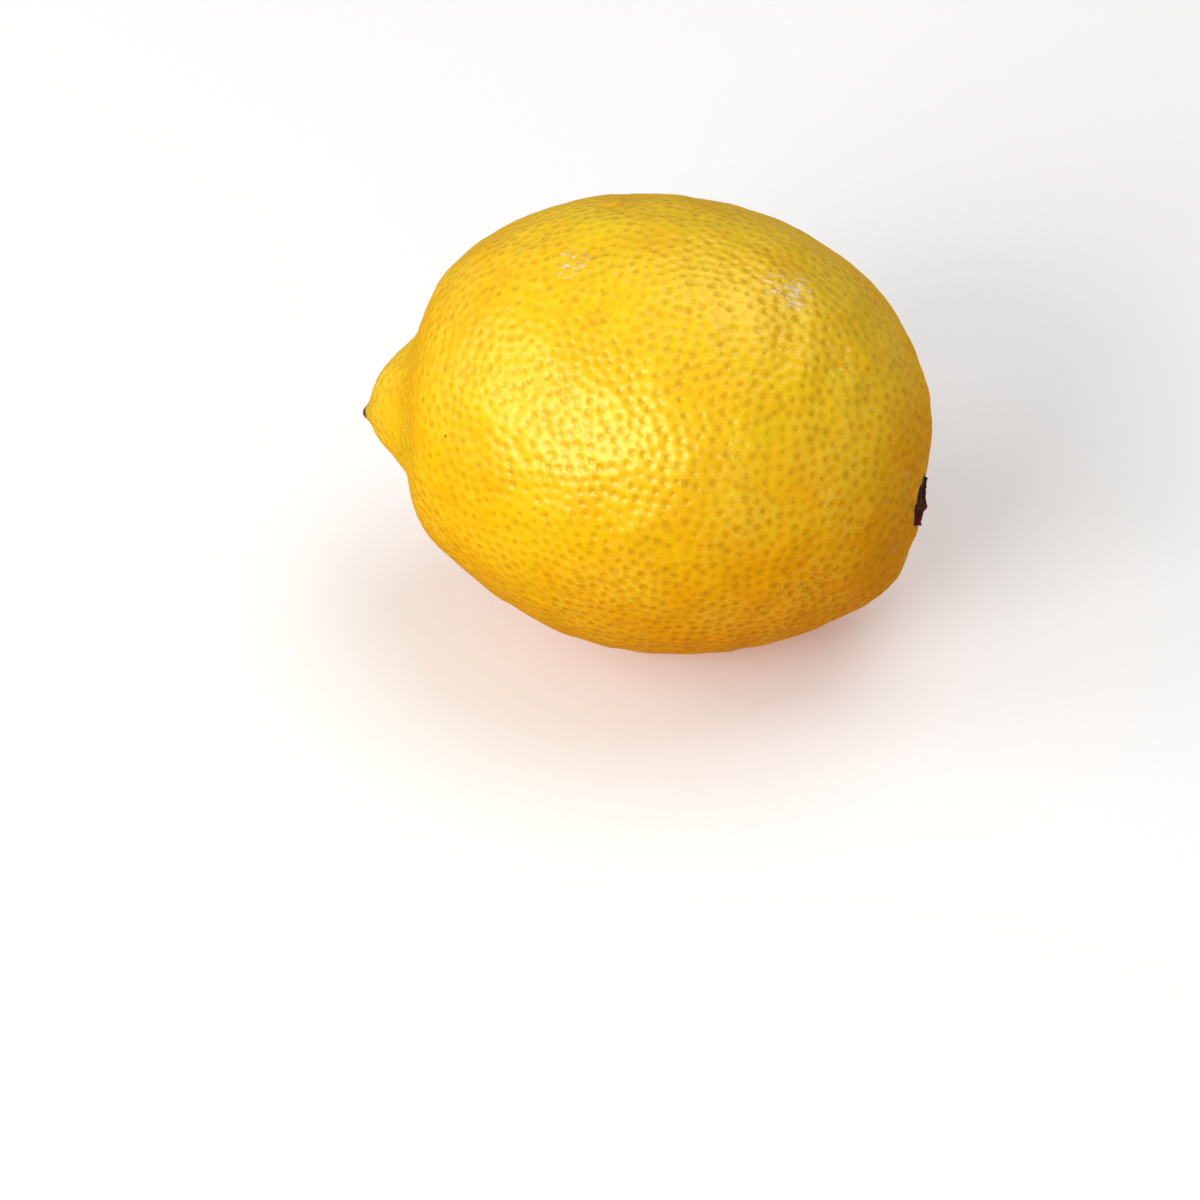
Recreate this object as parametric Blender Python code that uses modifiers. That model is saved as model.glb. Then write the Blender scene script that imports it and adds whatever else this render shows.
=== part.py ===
"""A whole lemon lying on its side, in metres, +Z up.

The fruit is one closed solid. Its body is an ellipsoid along X with a pointed
nipple at -X, a slight hollow round the nipple, a flattened stem end at +X and
a few soft swellings and flats. The dried stem button sits in a shallow socket
at the stem end. A small flat spot underneath lets the lemon rest. The origin
is the middle of the underside of the whole lemon's bounding box.
"""

import math

import bmesh
import bpy
from mathutils import Vector

MM = 0.001

# Body, in millimetres, measured from its centre
HALF_LENGTH = 37.6
HALF_WIDTH = 30.7
REST_DEPTH = 0.6            # how much of the underside the flat spot takes away

# Nipple at the blossom end: a dome that leans a little off the long axis
NIPPLE_AIM = Vector((-1.0, -0.083, -0.10)).normalized()
NIPPLE_HEIGHT = 3.3
NIPPLE_SPREAD = 11.5        # degrees from its axis
NIPPLE_POWER = 2.7          # above 2, so that the dome is blunt
COLLAR_DEPTH = 1.6          # the hollow ring where the nipple leaves the body
COLLAR_ANGLE = 19.6
COLLAR_SPREAD = 9.8

# Pointed tip of the nipple, with the dry scar of the style
TIP_AIM = Vector((-1.0, -0.097, -0.133)).normalized()
TIP_HEIGHT = 1.6
TIP_SPREAD = 2.4
TIP_POWER = 1.7             # 2 would be round, 1 a sharp point

# Stem end
STEM_AIM = Vector((37.2, 0.0, -4.0)).normalized()
STEM_FLAT = 1.7
STEM_SPREAD = 14.0

# Soft swellings (+) and flats (-): direction, spread in degrees, height in mm
SWELLINGS = (
    ((-0.75, 0.30, 0.58), 16.0, 0.35),      # upper shoulder behind the nipple
    ((-0.84, -0.49, -0.22), 18.0, 1.3),     # near side, under the nipple
    ((-0.19, -0.69, -0.70), 18.0, 0.4),     # lower near side
    ((-0.45, 0.85, -0.30), 26.0, 0.3),      # lower far side
    ((0.58, 0.64, 0.50), 22.0, 0.25),       # far side, towards the stem
    ((0.94, 0.35, 0.04), 16.0, -0.7),       # beside the stem
    ((0.91, -0.08, -0.42), 16.0, 1.7),      # under the stem
)

# Mesh of the fruit: rings run round the tip's axis and gather at both poles
SEGMENTS = 60
RINGS = 48
GATHER = 0.38

# Dried stem button: a five-lobed disc with the round scar of the stalk
BUTTON_RADIUS = 3.1
BUTTON_THICKNESS = 1.5
BUTTON_LOBES = 5
LOBE_DEPTH = 0.09           # as a share of the radius
BUTTON_SEGMENTS = 50
BUTTON_EDGE = 0.22
SCAR_RADIUS = 1.5
SCAR_DEPTH = 0.35
SOCKET_RADIUS = 3.75
SOCKET_DEPTH = 1.3
GAP = 0.3                   # between the button and the socket's floor

RIND_COLOUR = (0.93, 0.58, 0.02, 1.0)
BUTTON_COLOUR = (0.05, 0.02, 0.012, 1.0)


def bump(direction, aim, spread, power=2.0):
    """1 on the aim, falling off with the angle from it; spread is in degrees."""
    angle = math.degrees(direction.angle(aim))
    return math.exp(-((angle / spread) ** power))


def fruit_radius(direction):
    """Distance in mm from the body's centre to the rind along a unit direction."""
    across = (direction.y ** 2 + direction.z ** 2) / HALF_WIDTH ** 2
    along = (direction.x / HALF_LENGTH) ** 2
    radius = 1.0 / math.sqrt(along + across)
    radius += NIPPLE_HEIGHT * bump(direction, NIPPLE_AIM, NIPPLE_SPREAD, NIPPLE_POWER)
    radius += TIP_HEIGHT * bump(direction, TIP_AIM, TIP_SPREAD, TIP_POWER)
    off_nipple = math.degrees(direction.angle(NIPPLE_AIM))
    radius -= COLLAR_DEPTH * math.exp(-(((off_nipple - COLLAR_ANGLE) / COLLAR_SPREAD) ** 2))
    radius -= STEM_FLAT * bump(direction, STEM_AIM, STEM_SPREAD)
    for aim, spread, height in SWELLINGS:
        radius += height * bump(direction, Vector(aim), spread)
    return radius


def gather_rings(direction):
    """Slide a unit direction along its meridian, so that rings crowd at both Z poles."""
    polar = math.acos(max(-1.0, min(1.0, direction.z)))
    polar -= GATHER * math.sin(2.0 * polar)
    turn = math.atan2(direction.y, direction.x)
    across = math.sin(polar)
    return Vector((across * math.cos(turn), across * math.sin(turn), math.cos(polar)))


def clear_scene():
    for old in list(bpy.data.objects):
        bpy.data.objects.remove(old)


def make_collection(name):
    collection = bpy.data.collections.new(name)
    bpy.context.scene.collection.children.link(collection)
    return collection


def make_material(name, colour, roughness):
    material = bpy.data.materials.new(name)
    material.use_nodes = True
    shader = material.node_tree.nodes["Principled BSDF"]
    shader.inputs["Base Color"].default_value = colour
    shader.inputs["Roughness"].default_value = roughness
    shader.inputs["Metallic"].default_value = 0.0
    return material


def make_object(name, bm, collection, parent):
    mesh = bpy.data.meshes.new(name)
    bm.to_mesh(mesh)
    bm.free()
    obj = bpy.data.objects.new(name, mesh)
    obj.parent = parent
    collection.objects.link(obj)
    return obj


def make_cutter(name, bm, collection, parent):
    cutter = make_object(name, bm, collection, parent)
    cutter.hide_render = True
    cutter.display_type = "WIRE"
    return cutter


def cut(obj, cutter):
    boolean = obj.modifiers.new("cut_" + cutter.name, "BOOLEAN")
    boolean.operation = "DIFFERENCE"
    boolean.solver = "EXACT"
    boolean.object = cutter


def shade(obj, material, sharp_angle):
    obj.data.materials.append(material)
    obj.data.shade_smooth()
    obj.data.set_sharp_from_angle(angle=math.radians(sharp_angle))


def make_fruit(collection, cutters, root):
    """The rind's outer surface as one solid, with the flat spot and the stem socket cut in."""
    bm = bmesh.new()
    bmesh.ops.create_uvsphere(bm, u_segments=SEGMENTS, v_segments=RINGS, radius=1.0)
    pole_at_tip = TIP_AIM.to_track_quat("Z", "Y")
    for vert in bm.verts:
        direction = pole_at_tip @ gather_rings(vert.co.normalized())
        vert.co = direction * fruit_radius(direction) * MM
    lowest = min(vert.co.z for vert in bm.verts)
    fruit = make_object("fruit", bm, collection, root)

    bm = bmesh.new()
    bmesh.ops.create_cube(bm, size=HALF_LENGTH * MM)
    ground = make_cutter("cutter_ground", bm, cutters, root)
    ground.location.z = lowest + (REST_DEPTH - HALF_LENGTH / 2.0) * MM

    bm = bmesh.new()
    reach = HALF_WIDTH / 3.0
    bmesh.ops.create_cone(
        bm, cap_ends=True, segments=BUTTON_SEGMENTS,
        radius1=SOCKET_RADIUS * MM, radius2=SOCKET_RADIUS * MM, depth=reach * MM)
    socket = make_cutter("cutter_socket", bm, cutters, root)
    floor = fruit_radius(STEM_AIM) - SOCKET_DEPTH
    socket.location = STEM_AIM * (floor + reach / 2.0) * MM
    socket.rotation_euler = STEM_AIM.to_track_quat("Z", "Y").to_euler()

    cut(fruit, ground)
    cut(fruit, socket)
    shade(fruit, make_material("lemon_rind", RIND_COLOUR, 0.42), 40.0)
    return fruit


def make_button(collection, cutters, root):
    """The dried calyx left by the stalk: a lobed disc with a shallow round scar."""
    bm = bmesh.new()
    bmesh.ops.create_cone(
        bm, cap_ends=True, segments=BUTTON_SEGMENTS,
        radius1=BUTTON_RADIUS * MM, radius2=BUTTON_RADIUS * MM, depth=BUTTON_THICKNESS * MM)
    for vert in bm.verts:
        turn = math.atan2(vert.co.y, vert.co.x)
        lobe = 1.0 + LOBE_DEPTH * math.cos(BUTTON_LOBES * turn)
        vert.co.x *= lobe
        vert.co.y *= lobe
    button = make_object("stem_button", bm, collection, root)
    bottom = fruit_radius(STEM_AIM) - SOCKET_DEPTH + GAP
    button.location = STEM_AIM * (bottom + BUTTON_THICKNESS / 2.0) * MM
    button.rotation_euler = STEM_AIM.to_track_quat("Z", "Y").to_euler()
    bevel = button.modifiers.new("worn_edge", "BEVEL")
    bevel.width = BUTTON_EDGE * MM
    bevel.segments = 2
    bevel.limit_method = "ANGLE"

    bm = bmesh.new()
    bmesh.ops.create_cone(
        bm, cap_ends=True, segments=BUTTON_SEGMENTS,
        radius1=SCAR_RADIUS * MM, radius2=SCAR_RADIUS * MM, depth=2.0 * SCAR_DEPTH * MM)
    scar = make_cutter("cutter_scar", bm, cutters, root)
    scar.location = STEM_AIM * (bottom + BUTTON_THICKNESS) * MM
    scar.rotation_euler = button.rotation_euler
    cut(button, scar)
    shade(button, make_material("dried_calyx", BUTTON_COLOUR, 0.85), 40.0)
    return button


def seat_on_origin(root, parts):
    """Move the whole lemon so that the middle of its box's underside is the origin."""
    bpy.context.view_layer.update()
    depsgraph = bpy.context.evaluated_depsgraph_get()
    points = []
    for part in parts:
        seen = part.evaluated_get(depsgraph)
        mesh = seen.to_mesh()
        points += [part.matrix_world @ vert.co for vert in mesh.vertices]
        seen.to_mesh_clear()
    low = Vector([min(point[axis] for point in points) for axis in range(3)])
    high = Vector([max(point[axis] for point in points) for axis in range(3)])
    root.location = (-(low.x + high.x) / 2.0, -(low.y + high.y) / 2.0, -low.z)
    bpy.context.view_layer.update()


def main():
    clear_scene()
    lemon = make_collection("lemon")
    cutters = make_collection("cutters")
    root = bpy.data.objects.new("lemon_root", None)
    lemon.objects.link(root)
    fruit = make_fruit(lemon, cutters, root)
    button = make_button(lemon, cutters, root)
    seat_on_origin(root, (fruit, button))


main()
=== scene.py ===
"""The looks of a whole lemon: dimpled waxy rind, dry style tip, dried stem button, pale studio.

Shapes are worked out in millimetres from the fruit's centre, then moved to where the
CAD fruit lies and turned into metres.
"""

import math

import bmesh
import bpy
import numpy as np
from mathutils import Matrix, Vector, kdtree, noise


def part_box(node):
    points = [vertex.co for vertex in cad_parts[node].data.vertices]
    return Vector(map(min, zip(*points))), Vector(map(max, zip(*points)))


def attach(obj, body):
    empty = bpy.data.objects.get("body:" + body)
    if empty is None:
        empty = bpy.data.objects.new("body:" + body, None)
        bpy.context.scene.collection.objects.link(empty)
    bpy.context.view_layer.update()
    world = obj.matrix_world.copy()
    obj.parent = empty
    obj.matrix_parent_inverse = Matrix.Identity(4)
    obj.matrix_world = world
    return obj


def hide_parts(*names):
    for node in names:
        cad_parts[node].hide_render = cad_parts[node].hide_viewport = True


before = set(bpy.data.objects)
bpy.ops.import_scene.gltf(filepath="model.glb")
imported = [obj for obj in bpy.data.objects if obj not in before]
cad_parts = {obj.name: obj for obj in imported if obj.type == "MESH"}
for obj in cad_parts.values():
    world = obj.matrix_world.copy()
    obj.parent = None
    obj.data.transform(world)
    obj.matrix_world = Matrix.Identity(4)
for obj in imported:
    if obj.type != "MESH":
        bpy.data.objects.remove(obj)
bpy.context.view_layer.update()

MM = 0.001
SEED = 7


def unit(x, y, z):
    vector = np.array((x, y, z), float)
    return vector / np.linalg.norm(vector)


# ---------------------------------------------------------------- the fruit's form, as in the CAD

HALF_LENGTH = 37.6
HALF_WIDTH = 30.7
NIPPLE_AIM = unit(-1.0, -0.083, -0.10)
NIPPLE_HEIGHT = 3.3
NIPPLE_SPREAD = 11.5        # degrees from its axis
NIPPLE_POWER = 2.7          # above 2, so that the dome is blunt
COLLAR_DEPTH = 1.6
COLLAR_ANGLE = 19.6
COLLAR_SPREAD = 9.8
TIP_AIM = unit(-1.0, -0.097, -0.133)
TIP_HEIGHT = 1.6
TIP_SPREAD = 2.4
TIP_POWER = 1.7
STEM_AIM = unit(37.2, 0.0, -4.0)
STEM_FLAT = 1.7
STEM_SPREAD = 14.0
SWELLINGS = (
    ((-0.75, 0.30, 0.58), 16.0, 0.35),
    ((-0.84, -0.49, -0.22), 18.0, 1.3),
    ((-0.19, -0.69, -0.70), 18.0, 0.4),
    ((-0.45, 0.85, -0.30), 26.0, 0.3),
    ((0.58, 0.64, 0.50), 22.0, 0.25),
    ((0.94, 0.35, 0.04), 16.0, -0.7),
    ((0.91, -0.08, -0.42), 16.0, 1.7),
)

# ---------------------------------------------------------------- the rind's own detail, in mm

MESH_CUTS = 128             # quads along each edge of the cube that the mesh grows from
TIP_CROWDING = (24.0, 0.5)  # where the mesh gathers round the tip: spread in degrees, pull
STEM_CROWDING = (20.0, 0.45)
GLAND_SPACING = 1.3         # least distance between two oil glands
GLAND_TRIES = 90000
GLAND_RELAXING = 1          # rounds of evening out
GLAND_RADIUS = (0.42, 0.7)
GLAND_TONE = (0.25, 1.0)    # how strongly a gland shows
DIMPLE_DEPTH = 0.12
SWELLS = ((17.0, 0.28, 2), (8.0, 0.12, 3))      # ripples all over: grain, height, seed
LUMPS = ((4.4, 0.26, 4), (2.1, 0.08, 5))        # the same, fading out at both ends
TIP_GRAIN = (0.6, 0.12, 6)  # roughness of the dry tip, in the same terms
DISH_DEPTH = 1.15           # the hollow that holds the stem button
DISH_RADIUS = 3.35
LIP_HEIGHT = 0.6
LIP_SIDE = unit(0.0, -0.8, -0.6)    # where the rim of that hollow stands highest
NUB_HEIGHT = 0.12           # the dry end of the style on the nipple's tip
NUB_RADIUS = 0.75
STEM_FOLDS = (9, 0.09)      # folds that run out from each end: count, depth
TIP_FOLDS = (7, 0.16)
FOLD_REACH = 9.0
GROUND_SOFTNESS = 0.12      # how gently the underside turns flat

# ---------------------------------------------------------------- the dried stem button, in mm

BUTTON_SINK = 0.8           # its underside lies this far below the plain rind
BUTTON_RADIUS = 3.15
BUTTON_AXIS = unit(37.2, 4.0, 2.5)  # it leans a little off the stem end's own axis
BUTTON_LOBES = 5
BUTTON_RINGS = 44
BUTTON_SPOKES = 180
LOBE_DEPTH = 0.1            # as a share of the radius
RIM_WEAR = 0.07             # how ragged the rim is, as a share of the radius
FACE_HEIGHT = 1.07          # of the lobes over the underside
SCAR_RADIUS = 1.5           # the round mark that the stalk left
SCAR_DEPTH = 0.12           # how far its middle lies below the lobes
SCAR_RING = 0.3             # height of the ring round it
STRANDS = 9                 # dried strands that stand up inside it
STRAND_RING = 0.95          # how far from the middle they stand
STRAND_HEIGHT = 0.16


def angles_from(directions, aim):
    return np.degrees(np.arccos(np.clip(directions @ aim, -1.0, 1.0)))


def bump(directions, aim, spread, power=2.0):
    return np.exp(-((angles_from(directions, aim) / spread) ** power))


def fruit_radius(directions):
    """Distance in mm from the fruit's centre to the plain rind along unit directions."""
    x, y, z = directions.T
    radius = 1.0 / np.sqrt((x / HALF_LENGTH) ** 2 + (y ** 2 + z ** 2) / HALF_WIDTH ** 2)
    radius += NIPPLE_HEIGHT * bump(directions, NIPPLE_AIM, NIPPLE_SPREAD, NIPPLE_POWER)
    radius += TIP_HEIGHT * bump(directions, TIP_AIM, TIP_SPREAD, TIP_POWER)
    off_nipple = angles_from(directions, NIPPLE_AIM)
    radius -= COLLAR_DEPTH * np.exp(-(((off_nipple - COLLAR_ANGLE) / COLLAR_SPREAD) ** 2))
    radius -= STEM_FLAT * bump(directions, STEM_AIM, STEM_SPREAD)
    for aim, spread, height in SWELLINGS:
        radius += height * bump(directions, unit(*aim), spread)
    return radius


def on_rind(directions):
    return directions * fruit_radius(directions)[:, None]


def smoothstep(low, high, value):
    t = np.clip((value - low) / (high - low), 0.0, 1.0)
    return t * t * (3.0 - 2.0 * t)


def ripple(points, size, seed):
    """Smooth noise from about -1 to 1 at each point; size is its grain in mm."""
    shift = Vector((seed * 17.3, seed * -9.1, seed * 4.7))
    return np.array([noise.noise(Vector(point) / size + shift) for point in points.tolist()])


def crowd(directions, aim, spread, pull):
    """Slide directions towards an aim, so that the mesh is finer round it."""
    angle = np.arccos(np.clip(directions @ aim, -1.0, 1.0))
    closer = angle * (1.0 - pull * np.exp(-((np.degrees(angle) / spread) ** 2)))
    sideways = directions - np.outer(np.cos(angle), aim)
    sideways /= np.maximum(np.linalg.norm(sideways, axis=1), 1e-9)[:, None]
    return np.outer(np.cos(closer), aim) + sideways * np.sin(closer)[:, None]


def tree_of(points):
    tree = kdtree.KDTree(len(points))
    for index, point in enumerate(points):
        tree.insert(point, index)
    tree.balance()
    return tree


def scatter_glands():
    """Places on the rind no closer than a gland's spacing, in random order."""
    rng = np.random.default_rng(SEED)
    directions = rng.normal(size=(GLAND_TRIES, 3))
    directions /= np.linalg.norm(directions, axis=1)[:, None]
    places = on_rind(directions)
    closest = GLAND_SPACING * (1.0 + 0.12 * ripple(places, 14.0, 1))
    closest *= 1.0 - 0.28 * bump(directions, NIPPLE_AIM, 26.0)
    cell = GLAND_SPACING * 1.15
    keys = np.floor(places / cell).astype(int)
    steps = [(i, j, k) for i in (-1, 0, 1) for j in (-1, 0, 1) for k in (-1, 0, 1)]
    taken = {}
    kept = []
    for place, key, gap in zip(places.tolist(), keys.tolist(), closest.tolist()):
        near = (taken.get((key[0] + i, key[1] + j, key[2] + k), ()) for i, j, k in steps)
        if any(math.dist(place, other) < gap for group in near for other in group):
            continue
        taken.setdefault(tuple(key), []).append(place)
        kept.append(place)
    return np.array(kept)


def relax(glands, samples):
    """Move each gland to the middle of the rind nearest to it."""
    tree = tree_of(glands)
    owner = np.array([tree.find(sample)[1] for sample in samples])
    total = np.zeros_like(glands)
    np.add.at(total, owner, samples)
    count = np.bincount(owner, minlength=len(glands))
    alone = count == 0
    total[alone] = glands[alone]
    return on_rind(total / np.linalg.norm(total, axis=1)[:, None])


def ripples(points, layers):
    return sum(height * ripple(points, size, seed) for size, height, seed in layers)


def folds(directions, aim, count, depth):
    """Folds that run out from an aim like spokes."""
    across = np.cross(aim, (0.0, 0.0, 1.0))
    across /= np.linalg.norm(across)
    turn = np.arctan2(directions @ np.cross(aim, across), directions @ across)
    wander = 1.6 * ripple(directions * 20.0, 5.0, 8)
    return depth * np.cos(count * turn + wander)


def stem_hollow(from_stem, towards_lip):
    """The hollow that holds the button; its rim slopes away more gently outside than in."""
    hollow = 1.0 - smoothstep(DISH_RADIUS - 0.7, DISH_RADIUS + 0.45, from_stem)
    from_rim = from_stem - DISH_RADIUS - 1.0
    slope = np.where(from_rim < 0.0, 1.1, 2.6)
    lip_share = 0.5 + 0.5 * np.clip(towards_lip / 4.0, -1.0, 1.0)
    return LIP_HEIGHT * lip_share * np.exp(-((from_rim / slope) ** 2)) - DISH_DEPTH * hollow


def relief(points, directions, gland_off, gland_size):
    """Height in mm of the rind's swells, dimples and end details over the plain form."""
    tip = on_rind(TIP_AIM[None])[0]
    stem = on_rind(STEM_AIM[None])[0]
    from_tip = np.linalg.norm(points - tip, axis=1)
    from_stem = np.linalg.norm(points - stem, axis=1)
    away_from_ends = smoothstep(1.0, 6.0, from_tip) * smoothstep(3.0, 6.0, from_stem)
    height = ripples(points, SWELLS) + ripples(points, LUMPS) * away_from_ends
    dimple = np.exp(-((gland_off / gland_size) ** 2))
    height -= DIMPLE_DEPTH * dimple * (0.35 + 0.65 * away_from_ends)
    height += stem_hollow(from_stem, (points - stem) @ LIP_SIDE)
    stem_share = smoothstep(3.2, 4.6, from_stem) * np.exp(-((from_stem / FOLD_REACH) ** 2))
    height += folds(directions, STEM_AIM, *STEM_FOLDS) * stem_share
    tip_share = smoothstep(1.2, 4.0, from_tip) * np.exp(-((from_tip / FOLD_REACH) ** 2))
    height += folds(directions, NIPPLE_AIM, *TIP_FOLDS) * tip_share
    height += NUB_HEIGHT * np.exp(-((from_tip / NUB_RADIUS) ** 4))
    height += ripples(points, (TIP_GRAIN,)) * np.exp(-((from_tip / 1.6) ** 2))
    return height


def cube_grid(cuts):
    """A mesh of a cube's surface, each side cut into equal squares."""
    bm = bmesh.new()
    bmesh.ops.create_cube(bm, size=2.0)
    bmesh.ops.subdivide_edges(bm, edges=bm.edges[:], cuts=cuts - 1, use_grid_fill=True)
    mesh = bpy.data.meshes.new("lemon_rind")
    bm.to_mesh(mesh)
    bm.free()
    return mesh


def vertex_places(mesh):
    places = np.empty(len(mesh.vertices) * 3, np.float32)
    mesh.vertices.foreach_get("co", places)
    return places.reshape(-1, 3).astype(float)


def lay_out_map(mesh, cube):
    """One island for each side of the cube, three across and two up."""
    corner = np.empty(len(mesh.loops), int)
    mesh.loops.foreach_get("vertex_index", corner)
    corners = cube[corner].reshape(-1, 4, 3)
    middle = corners.mean(axis=1)
    axis = np.abs(middle).argmax(axis=1)
    positive = np.take_along_axis(middle, axis[:, None], 1)[:, 0] > 0
    first = np.take_along_axis(corners, ((axis + 1) % 3)[:, None, None], 2)[:, :, 0]
    second = np.take_along_axis(corners, ((axis + 2) % 3)[:, None, None], 2)[:, :, 0]
    margin = 0.985
    u = (axis[:, None] + 0.5 + 0.5 * margin * first) / 3.0
    v = (positive[:, None] + 0.5 + 0.5 * margin * second) / 2.0
    layer = mesh.uv_layers.new(name="OFBake")
    layer.uv.foreach_set("vector", np.stack([u, v], -1).astype(np.float32).ravel())


def store(mesh, name, values):
    kind = "FLOAT" if values.ndim == 1 else "FLOAT_VECTOR"
    attribute = mesh.attributes.new(name, kind, "POINT")
    attribute.data.foreach_set("value" if values.ndim == 1 else "vector",
                               values.astype(np.float32).ravel())


def fruit_centre(plain):
    """Where the fruit's centre lies in the frame, in mm, from the CAD fruit's box."""
    low, high = (np.array(corner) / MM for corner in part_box("fruit"))
    middle = (low + high) / 2.0 - (plain.min(axis=0) + plain.max(axis=0)) / 2.0
    return np.array((middle[0], middle[1], high[2] - plain[:, 2].max()))


def rest_on_ground(height):
    """Flatten the underside softly at z = 0."""
    return 0.5 * (height + np.sqrt(height ** 2 + GROUND_SOFTNESS ** 2))


def make_rind():
    """The rind's mesh, with each point's nearest gland stored for the material."""
    mesh = cube_grid(MESH_CUTS)
    cube = vertex_places(mesh)
    lay_out_map(mesh, cube)
    directions = np.tan(cube * math.pi / 4.0)
    directions /= np.linalg.norm(directions, axis=1)[:, None]
    directions = crowd(directions, TIP_AIM, *TIP_CROWDING)
    directions = crowd(directions, STEM_AIM, *STEM_CROWDING)
    plain = on_rind(directions)
    centre = fruit_centre(plain)

    glands = scatter_glands()
    for _ in range(GLAND_RELAXING):
        glands = relax(glands, plain)
    rng = np.random.default_rng(SEED + 1)
    sizes = rng.uniform(*GLAND_RADIUS, len(glands))
    tones = rng.uniform(*GLAND_TONE, len(glands))
    tree = tree_of(glands)
    nearest = [tree.find_n(point, 2) for point in plain]
    owner = np.array([pair[0][1] for pair in nearest])
    gland_off = np.array([pair[0][2] for pair in nearest])
    cell_edge = np.array([pair[1][2] - pair[0][2] for pair in nearest]) / 2.0

    height = relief(plain, directions, gland_off, sizes[owner])
    lift = directions * height[:, None] + centre
    points = plain + lift
    points[:, 2] = rest_on_ground(points[:, 2])
    mesh.vertices.foreach_set("co", (points * MM).astype(np.float32).ravel())
    store(mesh, "gland_at", glands[owner] + lift)
    store(mesh, "gland_off", gland_off)
    store(mesh, "gland_size", sizes[owner])
    store(mesh, "gland_tone", tones[owner])
    store(mesh, "cell_edge", cell_edge)
    mesh.update()
    mesh.shade_smooth()
    rind = bpy.data.objects.new("lemon_rind", mesh)
    bpy.context.scene.collection.objects.link(rind)
    return rind, centre


# ---------------------------------------------------------------- materials


class Graph:
    """Short names for building the nodes of a material or world."""

    def __init__(self, owner):
        owner.use_nodes = True
        self.owner = owner
        self.tree = owner.node_tree
        self.shader = self.tree.nodes.get("Principled BSDF") or self.tree.nodes["Background"]

    def add(self, kind, inputs=(), output=0, **settings):
        node = self.tree.nodes.new("ShaderNode" + kind)
        for name, value in settings.items():
            setattr(node, name, value)
        for key, value in dict(inputs).items():
            self.plug(node.inputs[key], value)
        return node.outputs[output]

    def plug(self, socket, value):
        if isinstance(value, bpy.types.NodeSocket):
            self.tree.links.new(value, socket)
        else:
            socket.default_value = value

    def math(self, operation, a, b=0.0, c=0.0, clamp=False):
        return self.add("Math", {0: a, 1: b, 2: c}, operation=operation, use_clamp=clamp)

    def times(self, a, b):
        return self.math("MULTIPLY", a, b)

    def scaled(self, vector, factor):
        return self.add("VectorMath", {0: vector, "Scale": factor}, operation="SCALE")

    def stretched(self, vector, by):
        return self.add("VectorMath", {0: vector, 1: by}, operation="MULTIPLY")

    def distance(self, a, b):
        return self.add("VectorMath", {0: a, 1: b}, output=1, operation="DISTANCE")

    def ease(self, value, start, end, low=0.0, high=1.0):
        """low where the value is at start, high at end, eased between."""
        return self.add("MapRange", {0: value, 1: start, 2: end, 3: low, 4: high},
                        interpolation_type="SMOOTHSTEP")

    def mix(self, share, a, b, blend="MIX"):
        inputs = {0: share, 6: a, 7: b}
        return self.add("Mix", inputs, output=2, data_type="RGBA", blend_type=blend)

    def grain(self, vector, scale, detail=2.0, roughness=0.5):
        return self.add("TexNoise", {"Vector": vector, "Scale": scale, "Detail": detail,
                                     "Roughness": roughness})

    def roughened(self, value, vector, scale, amount, detail=2.0):
        """The value with noise added, from 0 to the amount."""
        return self.math("MULTIPLY_ADD", self.grain(vector, scale, detail), amount, value)

    def attribute(self, name, output=2):
        """Output 1 is a vector, 2 a number."""
        return self.add("Attribute", output=output, attribute_name=name)

    def millimetres(self):
        return self.scaled(self.add("TexCoord", output=3), 1000.0)

    def bump(self, height, distance):
        return self.add("Bump", {"Height": height, "Distance": distance, "Strength": 1.0})


def colour(red, green, blue):
    return (red, green, blue, 1.0)


YELLOW = colour(0.95, 0.61, 0.004)
DEEP_YELLOW = colour(0.94, 0.53, 0.003)
# painted shade, partly the rind's own tone: deeper orange low down and towards the stem end
SHADE_ORANGE = colour(0.86, 0.32, 0.001)
# pale yellow: painted sheen on the net between the glands, and the nipple's own paler tone
NET_SHEEN_AND_PALE_TIP = colour(0.97, 0.70, 0.04)
# painted sheen in fine pale lines
SHEEN_LINE = colour(0.97, 0.70, 0.13)
GLAND = colour(0.79, 0.74, 0.30)        # what a gland's spot does to the colour under it
PORE = colour(0.50, 0.28, 0.02)
OLIVE = colour(0.50, 0.36, 0.02)
STYLE_BROWN = colour(0.10, 0.035, 0.018)
SCAR = colour(0.98, 0.78, 0.58)
SPECK = colour(0.20, 0.07, 0.01)

BARK_SCAR = (colour(0.04, 0.020, 0.012), colour(0.20, 0.12, 0.07))
BARK_LOBES = (colour(0.016, 0.006, 0.005), colour(0.075, 0.030, 0.018))
BARK_RIM = (colour(0.008, 0.003, 0.003), colour(0.030, 0.009, 0.007))
BARK_RED = colour(0.15, 0.010, 0.014)
BARK_WORN = colour(0.46, 0.24, 0.2)

# Healed scratches and rubs: direction from the centre, radius in mm, strength
SCARS = (
    ((-0.35, -0.20, 0.91), 3.2, 0.9),
    ((0.54, -0.03, 0.84), 4.6, 1.0),
    ((-0.54, -0.40, 0.74), 1.0, 0.5),
    ((0.98, -0.18, 0.13), 1.2, 0.8),
    ((0.96, -0.23, -0.15), 1.5, 0.8),
    ((0.10, 0.75, 0.62), 3.6, 0.8),
    ((-0.60, 0.70, 0.10), 2.4, 0.7),
)

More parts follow.
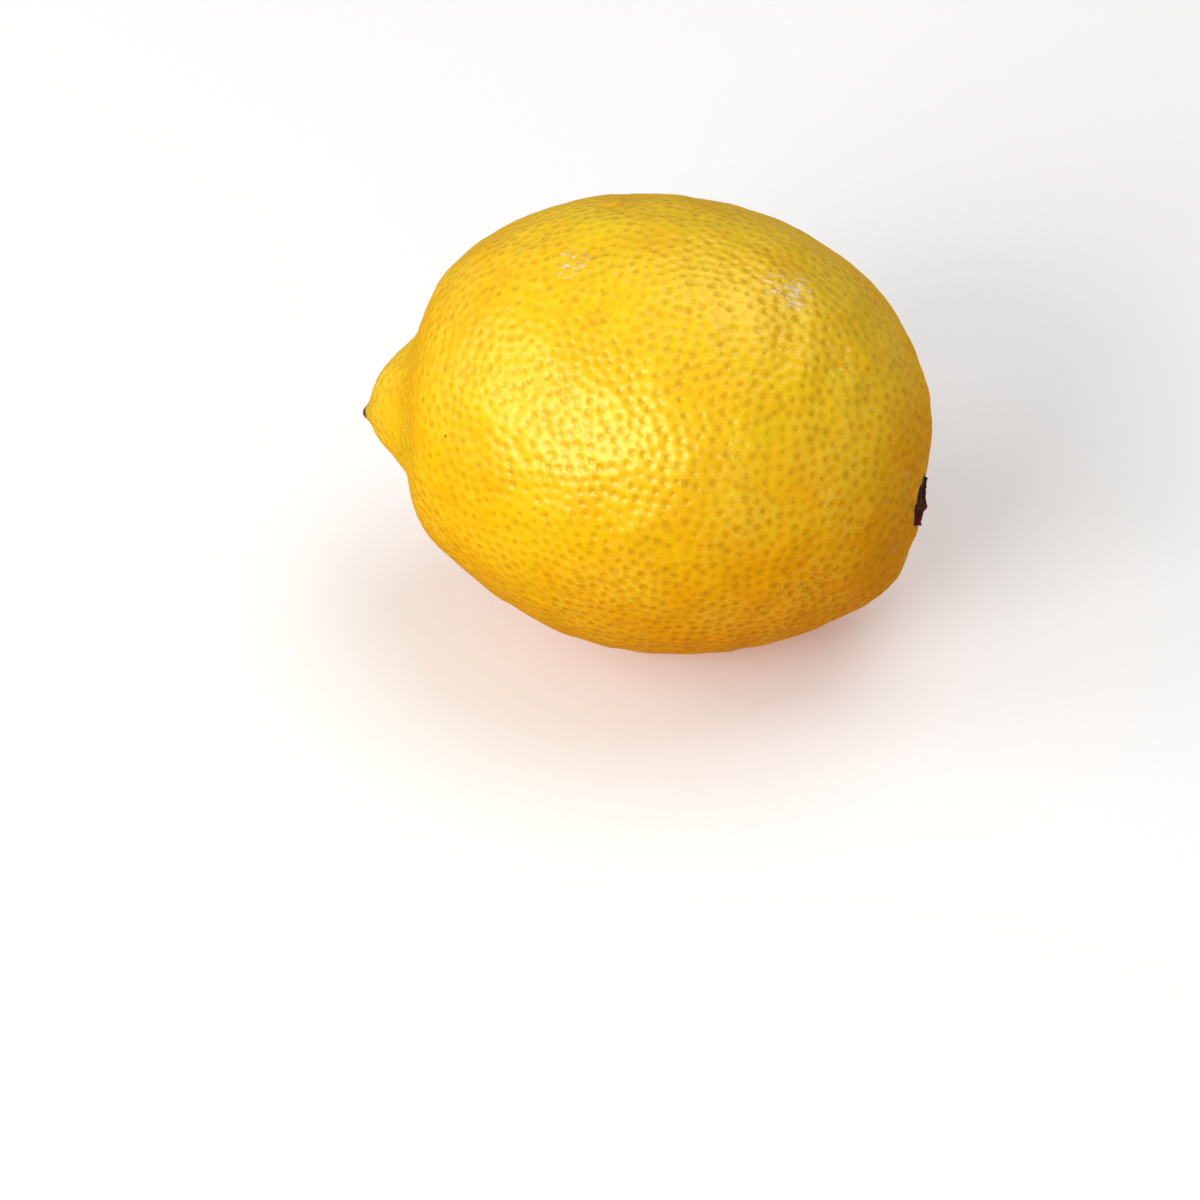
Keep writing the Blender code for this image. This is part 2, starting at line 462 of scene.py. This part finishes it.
# Small dark specks: direction from the centre, radius in mm
SPECKS = (
    ((-0.68, -0.68, 0.27), 0.32),
    ((-0.52, -0.02, 0.85), 0.3),
    ((0.92, -0.26, 0.28), 0.22),
    ((0.69, -0.69, 0.22), 0.2),
    ((0.30, 0.92, 0.20), 0.35),
    ((-0.35, 0.60, -0.60), 0.28),
)
SHADE_AWAY_FROM = (-0.45, 0.0, 1.0)      # painted shade, partly the rind's own tone: it turns deeper orange away from this direction
GLAND_SLACK = 0.16              # mm, how far a gland's distance may fall short of the stored one
FINE_RELIEF = 0.00010           # m, the depth of what is too fine for the mesh
BARK_RELIEF = 0.0002


def rind_point(centre, direction):
    """Where the plain rind lies in a direction from the fruit's centre, in mm."""
    return tuple(centre + on_rind(unit(*direction)[None])[0])


def gland_marks(g, place):
    """Shares of a gland's soft spot and of its pinhole, and the depth of its pit."""
    exact = g.distance(place, g.attribute("gland_at", 1))
    stored = g.math("SUBTRACT", g.attribute("gland_off"), GLAND_SLACK)
    off = g.math("MAXIMUM", exact, stored)
    uneven = g.math("SUBTRACT", g.roughened(off, place, 1.7, 0.34), 0.17)
    reach = g.math("DIVIDE", uneven, g.attribute("gland_size"))
    tone = g.attribute("gland_tone")
    halo = g.times(g.ease(reach, 1.3, 0.55), 0.85)
    spot = g.times(g.math("MULTIPLY_ADD", g.ease(reach, 0.85, 0.1), 0.15, halo), tone)
    pinhole = g.times(g.ease(off, 0.2, 0.08), g.ease(tone, 0.8, 1.0))
    pit = g.times(g.ease(reach, 1.35, 0.0), tone)
    return spot, pinhole, pit


def ground_colour(g, place, net):
    """Yellow with deeper patches, painted shade in deeper orange low down and towards the stem
    end (partly the rind's own tone), and a painted sheen on the net between the glands.
    """
    patches = g.ease(g.grain(place, 0.07, 3.0, 0.6), 0.36, 0.66)
    ground = g.mix(patches, YELLOW, DEEP_YELLOW)
    flecks = g.ease(g.grain(place, 0.55, 2.0), 0.55, 0.72)
    ground = g.mix(g.times(flecks, 0.35), ground, DEEP_YELLOW)
    # Painted shade, partly the rind's own tone: deeper orange low down and towards the stem end
    shade_field = g.add("VectorMath", {0: place, 1: SHADE_AWAY_FROM}, output=1, operation="DOT_PRODUCT")
    painted_shade_low = g.ease(g.roughened(shade_field, place, 0.08, 8.0), 42.0, 4.0)
    ground = g.mix(g.times(painted_shade_low, 0.7), ground, SHADE_ORANGE)
    # Painted sheen: paler yellow on the net between the glands
    drifts = g.ease(g.grain(place, 0.12), 0.4, 0.65, 0.0, 0.45)
    return g.mix(g.times(net, drifts), ground, NET_SHEEN_AND_PALE_TIP)


def sheen_lines(g, place):
    """Painted sheen in fine pale lines, in drifts, mostly towards the stem."""
    wander = g.scaled(g.add("TexNoise", {"Vector": place, "Scale": 0.9}, output=1), 1.3)
    bent = g.add("VectorMath", {0: place, 1: wander})
    line_net = g.add("TexVoronoi", {"Vector": bent, "Scale": 0.62}, feature="DISTANCE_TO_EDGE")
    drifts = g.ease(g.grain(place, 0.11, 3.0, 0.6), 0.42, 0.66, 0.0, 0.5)
    along = g.add("SeparateXYZ", {0: place}, output=0)
    towards_stem = g.ease(along, -14.0, 24.0, 0.25, 1.0)
    return g.times(g.times(g.ease(line_net, 0.045, 0.01), drifts), towards_stem)


def scratches(g, place, centre):
    streaks = g.ease(g.grain(g.stretched(place, (1.0, 2.2, 2.2)), 0.75, 3.0, 0.65), 0.52, 0.58)
    share = 0.0
    for direction, radius, strength in SCARS:
        away = g.distance(place, rind_point(centre, direction))
        near = g.ease(away, radius, radius * 0.35, 0.0, strength)
        share = g.math("MAXIMUM", g.times(near, streaks), share)
    return share


def specks(g, place, centre):
    share = 0.0
    for direction, radius in SPECKS:
        away = g.distance(place, rind_point(centre, direction))
        away = g.math("SUBTRACT", g.roughened(away, place, 3.0, 0.4), 0.2)
        share = g.math("MAXIMUM", g.ease(away, radius, radius * 0.4), share)
    return share


def add_ends(g, place, centre, skin, dry):
    """A pale nipple with an olive flush round its dry tip, and an olive stain by the button."""
    from_tip = g.distance(place, rind_point(centre, TIP_AIM))
    pale = g.ease(g.roughened(from_tip, place, 0.3, 6.0), 17.0, 7.0, 0.0, 0.4)
    skin = g.mix(pale, skin, NET_SHEEN_AND_PALE_TIP)
    flush = g.math("SUBTRACT", g.roughened(from_tip, place, 0.9, 2.2, 3.0), 1.1)
    skin = g.mix(g.ease(flush, 4.2, 1.4, 0.0, 0.6), skin, OLIVE)
    skin = g.mix(dry, skin, STYLE_BROWN)
    from_stem = g.distance(place, rind_point(centre, STEM_AIM))
    stain = g.ease(g.roughened(from_stem, place, 0.8, 1.6, 3.0), 4.7, 3.6, 0.0, 0.7)
    return g.mix(stain, skin, OLIVE)


def rind_material(centre):
    """Waxy rind: soft spots at the oil glands, painted sheen in fine pale lines and on the net,
    painted shade low down, scratches, specks and both ends.
    """
    g = Graph(bpy.data.materials.new("rind"))
    place = g.millimetres()
    spot, pinhole, pit = gland_marks(g, place)
    # The net between the glands: a bump in the relief, and a painted sheen in the colour
    net = g.ease(g.attribute("cell_edge"), 0.34, 0.05)
    scratched = scratches(g, place, centre)
    from_tip = g.distance(place, rind_point(centre, TIP_AIM))
    dry = g.ease(g.roughened(from_tip, place, 2.2, 0.6, 3.0), 1.8, 1.35)

    skin = ground_colour(g, place, net)
    skin = g.mix(g.times(spot, 0.82), skin, GLAND, "MULTIPLY")
    # Painted sheen in fine pale lines, mostly towards the stem
    skin = g.mix(sheen_lines(g, place), skin, SHEEN_LINE)
    skin = g.mix(g.times(pinhole, 0.4), skin, PORE)
    skin = g.mix(g.times(scratched, 0.9), skin, SCAR)
    skin = g.mix(g.times(specks(g, place, centre), 0.85), skin, SPECK)
    skin = add_ends(g, place, centre, skin, dry)
    g.plug(g.shader.inputs["Base Color"], skin)

    # Glossy wax, duller on the dry tip and smoother on healed scratches
    gloss = g.math("MULTIPLY_ADD", g.grain(place, 0.4, 3.0), 0.14, 0.17)
    gloss = g.math("MULTIPLY_ADD", dry, 0.4, gloss)
    gloss = g.math("MULTIPLY_ADD", scratched, -0.08, gloss, clamp=True)
    g.plug(g.shader.inputs["Roughness"], gloss)

    height = g.math("MULTIPLY_ADD", g.grain(place, 2.8, 4.0, 0.65), 0.35, g.times(pit, -1.0))
    height = g.math("MULTIPLY_ADD", net, 0.12, height)
    height = g.math("MULTIPLY_ADD", scratched, 0.9, height)
    height = g.math("MULTIPLY_ADD", g.times(dry, g.grain(place, 3.5, 3.0)), 3.0, height)
    g.plug(g.shader.inputs["Normal"], g.bump(height, FINE_RELIEF))

    g.shader.inputs["Specular IOR Level"].default_value = 0.8
    g.shader.inputs["Specular Tint"].default_value = colour(1.0, 0.88, 0.45)
    g.shader.inputs["Subsurface Weight"].default_value = 0.3
    g.shader.inputs["Subsurface Radius"].default_value = (1.0, 0.35, 0.06)
    g.shader.inputs["Subsurface Scale"].default_value = 0.003
    return g.owner


def button_material(face):
    """Dry bark: a paler round scar, brown lobes, a nearly black rim, dark red low down."""
    g = Graph(bpy.data.materials.new("calyx"))
    place = g.millimetres()
    grain = g.grain(place, 1.6, 4.0, 0.65)
    streaks = g.ease(grain, 0.36, 0.66)
    out = g.roughened(g.distance(place, tuple(face)), place, 1.2, 0.5, 3.0)
    bark = g.mix(g.ease(out, SCAR_RADIUS, SCAR_RADIUS + 0.4), g.mix(streaks, *BARK_SCAR),
                 g.mix(streaks, *BARK_LOBES))
    bark = g.mix(g.ease(out, 2.5, 3.1), bark, g.mix(streaks, *BARK_RIM))
    lower = g.math("SUBTRACT", face[2], g.add("SeparateXYZ", {0: place}, output=2))
    red = g.ease(g.roughened(lower, place, 0.7, 3.0), 1.3, 2.8)
    bark = g.mix(g.times(red, g.ease(out, 1.7, 2.9, 0.0, 0.8)), bark, BARK_RED)
    worn = g.times(g.ease(out, 2.6, 3.4), g.ease(g.grain(place, 1.6, 3.0), 0.42, 0.58))
    worn = g.times(worn, g.ease(lower, -1.2, -2.6, 0.15, 1.0))
    bark = g.mix(worn, bark, BARK_WORN)
    g.plug(g.shader.inputs["Base Color"], bark)
    g.plug(g.shader.inputs["Roughness"], g.ease(grain, 0.3, 0.7, 0.6, 0.9))
    g.plug(g.shader.inputs["Normal"], g.bump(g.grain(place, 3.2, 4.0, 0.7), BARK_RELIEF))
    g.shader.inputs["Specular IOR Level"].default_value = 0.35
    return g.owner


# ---------------------------------------------------------------- the button's mesh


def button_profile(out, turn):
    """Height in mm of the face over the underside; out is 0 in the middle, 1 at the rim."""
    lobe = 0.5 + 0.5 * math.sin(BUTTON_LOBES * turn)
    radius = out * BUTTON_RADIUS
    inside = min(1.0, radius / SCAR_RADIUS)
    bowl = FACE_HEIGHT - SCAR_DEPTH * (1.0 - inside ** 2)
    ring = SCAR_RING * math.exp(-((radius - SCAR_RADIUS - 0.1) / 0.22) ** 2)
    strands = STRAND_HEIGHT * math.exp(-((radius - STRAND_RING) / 0.18) ** 2)
    strands *= math.cos(STRANDS * turn + 1.0)
    beyond = max(0.0, radius - SCAR_RADIUS) / (BUTTON_RADIUS - SCAR_RADIUS)
    ridge = (0.30 * lobe ** 2 - 0.28 * (1.0 - lobe)) * math.sin(math.pi * min(1.0, beyond * 0.8))
    curl = 0.28 * lobe * beyond ** 3
    return bowl + ring + strands + ridge + curl


def button_point(out, turn, face_side):
    """A point of the face or of the underside, in mm in the button's own axes."""
    wear = noise.fractal(Vector((math.cos(turn), math.sin(turn), 0.3)) * 2.6, 0.8, 2.0, 4)
    lobes = LOBE_DEPTH * math.sin(BUTTON_LOBES * turn)
    rim = BUTTON_RADIUS * (1.0 + lobes + RIM_WEAR * wear)
    reach = rim * math.sin(out * math.pi / 2.0) ** 0.8
    x = reach * math.cos(turn)
    y = reach * math.sin(turn)
    if not face_side:
        return Vector((x, y, 0.25 * out ** 6))
    crumple = 0.11 * noise.fractal(Vector((x, y, 0.0)) * 1.3, 0.7, 2.0, 5)
    thinning = 1.0 - 0.55 * smoothstep(0.88, 1.0, out)
    return Vector((x, y, (button_profile(out, turn) + crumple) * thinning))


def make_button(centre):
    """A polar grid: the face from the middle out to the lobed rim, then back under."""
    depth = fruit_radius(STEM_AIM[None])[0] - BUTTON_SINK
    seat = Vector(centre) + Vector(STEM_AIM) * depth
    turn_to = Vector(BUTTON_AXIS).to_track_quat("Z", "Y").to_matrix().to_4x4()
    local = Matrix.Translation(seat) @ turn_to
    bm = bmesh.new()
    rows = []
    for ring in range(1, 2 * BUTTON_RINGS):
        face_side = ring <= BUTTON_RINGS
        out = ring / BUTTON_RINGS if face_side else 2.0 - ring / BUTTON_RINGS
        row = []
        for spoke in range(BUTTON_SPOKES):
            turn = 2.0 * math.pi * spoke / BUTTON_SPOKES
            row.append(bm.verts.new(local @ button_point(out, turn, face_side) * MM))
        rows.append(row)
    top = bm.verts.new(local @ Vector((0.0, 0.0, button_profile(0.0, 0.0))) * MM)
    bottom = bm.verts.new(local @ Vector((0.0, 0.0, 0.0)) * MM)
    for spoke in range(BUTTON_SPOKES):
        after = (spoke + 1) % BUTTON_SPOKES
        for inner, outer in zip(rows, rows[1:]):
            bm.faces.new((inner[spoke], outer[spoke], outer[after], inner[after]))
        bm.faces.new((top, rows[0][spoke], rows[0][after]))
        bm.faces.new((bottom, rows[-1][after], rows[-1][spoke]))
    mesh = bpy.data.meshes.new("dried_button")
    bm.to_mesh(mesh)
    bm.free()
    mesh.shade_smooth()
    button = bpy.data.objects.new("dried_button", mesh)
    bpy.context.scene.collection.objects.link(button)
    face = seat + Vector(BUTTON_AXIS) * button_profile(0.0, 0.0)
    button.data.materials.append(button_material(face))
    return button


# ---------------------------------------------------------------- studio

VIEW_AZIMUTH = 18.75        # degrees from the -Y axis towards +X
VIEW_ELEVATION = 40.0
VIEW_DISTANCE = 674.0       # mm, along the lens axis
ASIDE = 8.587               # mm from the lens axis to the fruit's centre, to the right
ABOVE = 23.738              # mm, upwards
LENS = 150.0
SENSOR = 36.0
NEAREST = 0.01              # m, nothing closer to the lens is drawn

# Azimuth and elevation in degrees, distance in m, width and height in m, watts, colour
SOFTBOXES = {
    "key": (-21.0, 25.0, 1.0, (0.6, 0.55), 7.3, (1.0, 0.985, 0.96)),
    "side": (-66.0, 30.0, 1.0, (0.5, 0.5), 2.2, (1.0, 1.0, 1.0)),
    "overhead": (150.0, 68.0, 1.3, (1.1, 0.8), 5.3, (1.0, 1.0, 1.0)),
}
BACKDROP = colour(0.86, 0.86, 0.86)     # what the camera sees beyond the floor
SOFT_SKY = colour(0.38, 0.38, 0.38)     # what lights the fruit from above
MIRRORED_SKY = colour(0.19, 0.19, 0.19)
WARM_BELOW = colour(0.56, 0.27, 0.04)   # stands in for the light that comes back off the floor
FLOOR_REACH = 2.5                       # m from the middle to each edge
FLOOR_GREYS = (colour(0.93, 0.93, 0.93), colour(0.95, 0.95, 0.95))


def direction_of(azimuth, elevation):
    azimuth = math.radians(azimuth)
    elevation = math.radians(elevation)
    flat = math.cos(elevation)
    return Vector((math.sin(azimuth) * flat, -math.cos(azimuth) * flat, math.sin(elevation)))


def make_camera(centre):
    back = direction_of(VIEW_AZIMUTH, VIEW_ELEVATION)
    right = Vector((0.0, 0.0, 1.0)).cross(back).normalized()
    up = back.cross(right)
    place = Vector(centre) + back * VIEW_DISTANCE - right * ASIDE - up * ABOVE
    turn = Matrix((right, up, back)).transposed().to_4x4()
    data = bpy.data.cameras.new("camera")
    data.lens = LENS
    data.sensor_width = SENSOR
    data.clip_start = NEAREST
    camera = bpy.data.objects.new("camera", data)
    camera.matrix_world = Matrix.Translation(place * MM) @ turn
    bpy.context.scene.collection.objects.link(camera)
    bpy.context.scene.camera = camera


def make_softbox(name, aim, azimuth, elevation, distance, size, power, tint):
    data = bpy.data.lights.new(name, "AREA")
    data.shape = "RECTANGLE"
    data.size, data.size_y = size
    data.energy = power
    data.color = tint
    light = bpy.data.objects.new(name, data)
    away = direction_of(azimuth, elevation)
    light.location = aim + away * distance
    light.rotation_euler = away.to_track_quat("Z", "Y").to_euler()
    bpy.context.scene.collection.objects.link(light)


def make_world():
    """Pale all round for the camera; the fruit is lit softly from above, warmly from below."""
    g = Graph(bpy.data.worlds.new("studio"))
    upward = g.add("SeparateXYZ", {0: g.add("TexCoord")}, output=2)
    seen_in_gloss = g.add("LightPath", output=3)
    above = g.mix(seen_in_gloss, SOFT_SKY, MIRRORED_SKY)
    light = g.mix(g.ease(upward, -0.05, -0.4), above, WARM_BELOW)
    seen_by_camera = g.add("LightPath")
    g.plug(g.shader.inputs["Color"], g.mix(seen_by_camera, light, BACKDROP))
    bpy.context.scene.world = g.owner


def floor_material():
    """Matt and pale; a faint glow that grows with distance keeps the far floor even."""
    g = Graph(bpy.data.materials.new("pale_floor"))
    place = g.millimetres()
    g.plug(g.shader.inputs["Base Color"], g.mix(g.grain(place, 0.01, 2.0), *FLOOR_GREYS))
    away = g.add("VectorMath", {0: place}, output=1, operation="LENGTH")
    g.plug(g.shader.inputs["Emission Strength"], g.ease(away, 100.0, 1100.0, 0.07, 0.45))
    g.shader.inputs["Emission Color"].default_value = colour(1.0, 1.0, 1.0)
    g.shader.inputs["Roughness"].default_value = 0.9
    g.shader.inputs["Specular IOR Level"].default_value = 0.1
    return g.owner


def make_floor():
    """The camera sees it and shadows fall on it, but it doesn't light the fruit."""
    bm = bmesh.new()
    bmesh.ops.create_grid(bm, x_segments=1, y_segments=1, size=FLOOR_REACH)
    mesh = bpy.data.meshes.new("floor")
    bm.to_mesh(mesh)
    bm.free()
    mesh.materials.append(floor_material())
    floor = bpy.data.objects.new("floor", mesh)
    bpy.context.scene.collection.objects.link(floor)
    floor.visible_diffuse = False
    floor.visible_glossy = False


def make_studio(centre):
    for name, settings in SOFTBOXES.items():
        make_softbox(name, Vector(centre) * MM, *settings)
    make_world()
    make_floor()
    view = bpy.context.scene.view_settings
    view.view_transform = "Standard"
    view.look = "None"


# ---------------------------------------------------------------- assembly

rind, centre = make_rind()
rind.data.materials.append(rind_material(centre))
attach(rind, "root")
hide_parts("fruit")

button = make_button(centre)
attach(button, "root")
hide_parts("stem_button")

make_camera(centre)
make_studio(centre)
